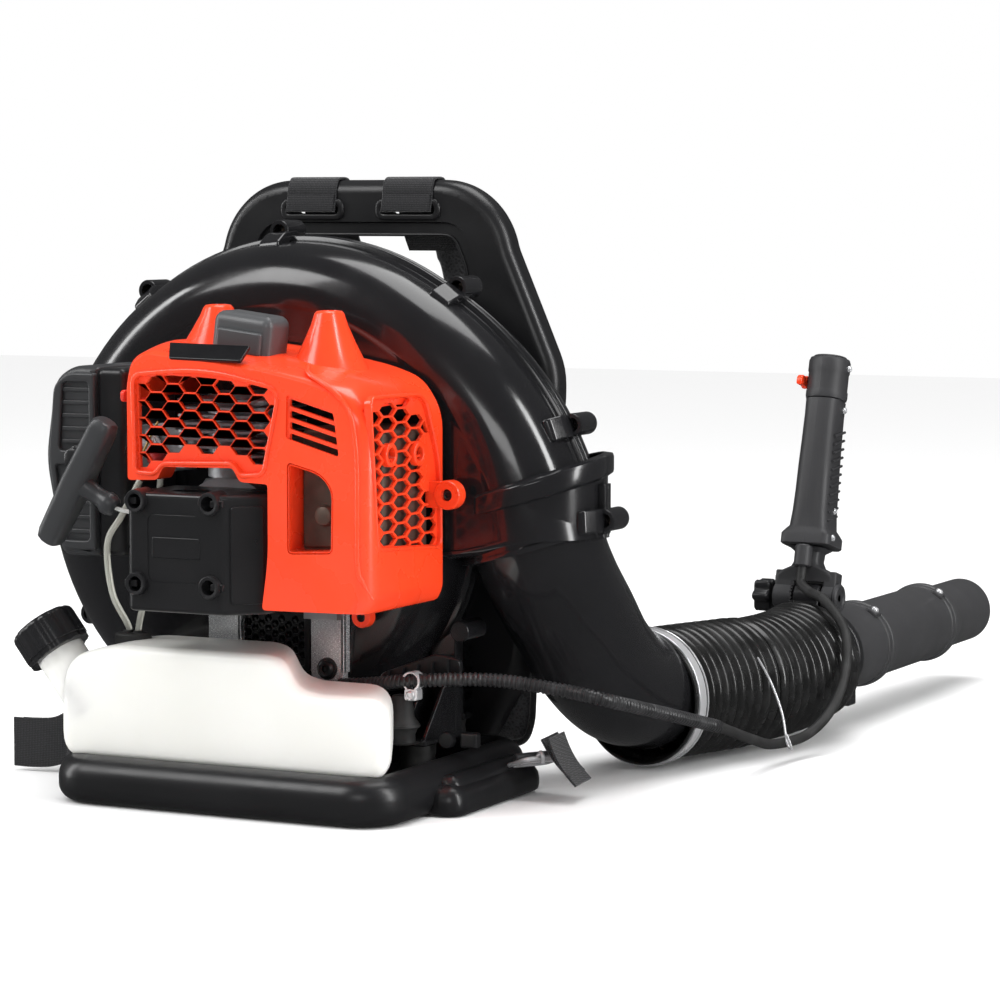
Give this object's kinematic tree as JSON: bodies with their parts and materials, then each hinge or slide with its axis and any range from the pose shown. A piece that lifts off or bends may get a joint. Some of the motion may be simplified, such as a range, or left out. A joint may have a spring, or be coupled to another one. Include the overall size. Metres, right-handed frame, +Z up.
{
  "type": "backpack leaf blower",
  "caption": "Backpack leaf blower: two-stroke engine and round fan housing on a padded carrying frame, with a ribbed hose, a blower tube and a trigger grip.",
  "frame": {"origin": "centre of the resting face of the base", "axes": "+Z up, +Y the way the wearer faces and along the blower tube, +X the wearer's right"},
  "size_m": [0.6213, 1.095, 0.5228],
  "materials": {
    "frame_plastic": "satin moulded",
    "pad_mesh": "quilted mesh",
    "webbing": "woven",
    "bright_wire": "bright",
    "rubber": "matt",
    "housing_gloss": "gloss moulded",
    "zinc": "zinc plated",
    "black_plastic": "moulded",
    "fan_plastic": "moulded",
    "hose_rubber": "satin",
    "pipe_plastic": "satin",
    "cast_alloy": "as cast",
    "steel": "ground",
    "ceramic_plug": "glazed",
    "heat_steel": "heat stained",
    "pulley_plastic": "moulded",
    "rope": "braided",
    "grip_plastic": "fine grain",
    "grey_plastic": "fine grain",
    "filter_foam": "foam",
    "red_plastic": "gloss",
    "red_rubber": "soft",
    "orange_plastic": "gloss",
    "latch_plastic": "satin",
    "tank_plastic": "translucent",
    "clear_tube": "clear",
    "conduit": "ribbed"
  },
  "bodies": {
    "frame": {"base_frame": "frame_plastic", "backrest_frame": "frame_plastic", "back_pad": "pad_mesh", "shoulder_straps": "pad_mesh", "strap_webbing": "webbing", "strap_buckles": "bright_wire", "vibration_mounts": "rubber", "volute_front": "housing_gloss", "volute_rear": "housing_gloss", "volute_screws": "zinc", "intake_screen": "black_plastic", "cooling_screen": "black_plastic", "elbow": "housing_gloss", "elbow_clamp": "zinc", "hose_rear": "hose_rubber", "crankcase": "cast_alloy", "crank_bearings": "steel", "cylinder": "cast_alloy", "spark_plug": "ceramic_plug", "ignition_coil": "black_plastic", "muffler": "heat_steel", "recoil_housing": "black_plastic", "recoil_spring": "steel", "starter_rope": "rope", "carburettor": "cast_alloy", "air_filter_body": "grey_plastic", "air_filter_element": "filter_foam", "air_filter_cover": "grey_plastic", "engine_cover": "orange_plastic", "engine_cover_cap": "latch_plastic", "fuel_tank": "tank_plastic", "fuel_lines": "clear_tube", "mount_legs": "zinc", "throttle_conduit": "conduit", "throttle_cable": "conduit"},
    "rotor": {"impeller": "fan_plastic", "fan_nut": "zinc", "crankshaft": "steel", "flywheel": "cast_alloy"},
    "piston": {"piston": "cast_alloy", "wrist_pin": "steel"},
    "rod": {"connecting_rod": "steel"},
    "pulley": {"recoil_pulley": "pulley_plastic"},
    "pull": {"pull_handle": "grip_plastic"},
    "choke": {"choke_lever": "red_plastic"},
    "primer": {"primer_bulb": "red_rubber"},
    "cap": {"tank_cap": "black_plastic"},
    "hose_ring": {"hose_mid_ring": "hose_rubber"},
    "tube": {"hose_front": "hose_rubber", "hose_end_clamp": "black_plastic", "swivel_pipe": "pipe_plastic", "middle_pipe": "pipe_plastic", "pipe_joint_bolts": "zinc", "handle_bracket": "black_plastic"},
    "nozzle": {"nozzle_pipe": "pipe_plastic"},
    "knob": {"bracket_knob": "black_plastic"},
    "handle": {"grip_left": "grip_plastic", "grip_right": "grip_plastic"},
    "trigger": {"throttle_trigger": "black_plastic"},
    "lever": {"thumb_lever": "orange_plastic"}
  },
  "joints": [
    {"name": "rotor_spin", "type": "hinge", "parent": "frame", "child": "rotor", "pos_m": [-0.01, -0.1, 0.223], "axis": [0, 1, 0], "continuous": true},
    {"name": "piston_slide", "type": "slide", "parent": "frame", "child": "piston", "axis": [0, 0, 1], "range_m": [-0.032, 0]},
    {"name": "rod_swing", "type": "hinge", "parent": "piston", "child": "rod", "pos_m": [-0.01, -0.11, 0.301], "axis": [0, 1, 0], "range_deg": [-14, 14]},
    {"name": "starter_pull", "type": "slide", "parent": "frame", "child": "pull", "axis": [-0.8682, 0, 0.4962], "range_m": [0, 0.5], "stiffness_N_per_m": 20, "springref_m": -0.1},
    {"name": "pulley_spin", "type": "hinge", "parent": "frame", "child": "pulley", "pos_m": [-0.01, -0.197, 0.223], "axis": [0, 1, 0], "range_deg": [-1150, 0]},
    {"name": "choke_turn", "type": "hinge", "parent": "frame", "child": "choke", "pos_m": [-0.093, -0.138, 0.34], "axis": [1, 0, 0], "range_deg": [0, 60]},
    {"name": "primer_press", "type": "slide", "parent": "frame", "child": "primer", "axis": [0, 1, 0], "range_m": [0, 0.004], "stiffness_N_per_m": 800},
    {"name": "cap_turn", "type": "hinge", "parent": "frame", "child": "cap", "pos_m": [-0.146, -0.164, 0.104], "axis": [-0.6157, 0, 0.788], "range_deg": [0, 350]},
    {"name": "hose_yaw", "type": "hinge", "parent": "frame", "child": "hose_ring", "pos_m": [0.242, 0.26, 0.063], "axis": [0, 0, 1], "range_deg": [-20, 25], "deforming": ["hose_rear", "hose_front", "throttle_cable"]},
    {"name": "hose_pitch", "type": "hinge", "parent": "hose_ring", "child": "tube", "pos_m": [0.276, 0.366, 0.066], "axis": [1, 0, 0], "range_deg": [0, 40], "deforming": ["hose_rear", "hose_front", "throttle_cable"]},
    {"name": "nozzle_twist", "type": "hinge", "parent": "tube", "child": "nozzle", "pos_m": [0.286, 0.8, 0.071], "axis": [0, 1, 0], "range_deg": [0, 30]},
    {"name": "knob_turn", "type": "hinge", "parent": "tube", "child": "knob", "pos_m": [0.278, 0.446, 0.128], "axis": [1, 0, 0], "range_deg": [0, 350]},
    {"name": "handle_tilt", "type": "hinge", "parent": "tube", "child": "handle", "pos_m": [0.278, 0.446, 0.128], "axis": [1, 0, 0], "range_deg": [-20, 25], "deforming": ["throttle_cable"]},
    {"name": "trigger_press", "type": "hinge", "parent": "handle", "child": "trigger", "pos_m": [0.278, 0.48813, 0.23887], "axis": [1, 0, 0], "range_deg": [0, 12], "stiffness_Nm_per_rad": 0.4, "springref_deg": -5.73},
    {"name": "lever_turn", "type": "hinge", "parent": "handle", "child": "lever", "pos_m": [0.278, 0.49983, 0.32891], "axis": [1, 0, 0], "range_deg": [0, 60]}
  ],
  "couplings": [
    {"joint": "pulley_spin", "follows": "starter_pull", "rad_per_m": -40}
  ]
}
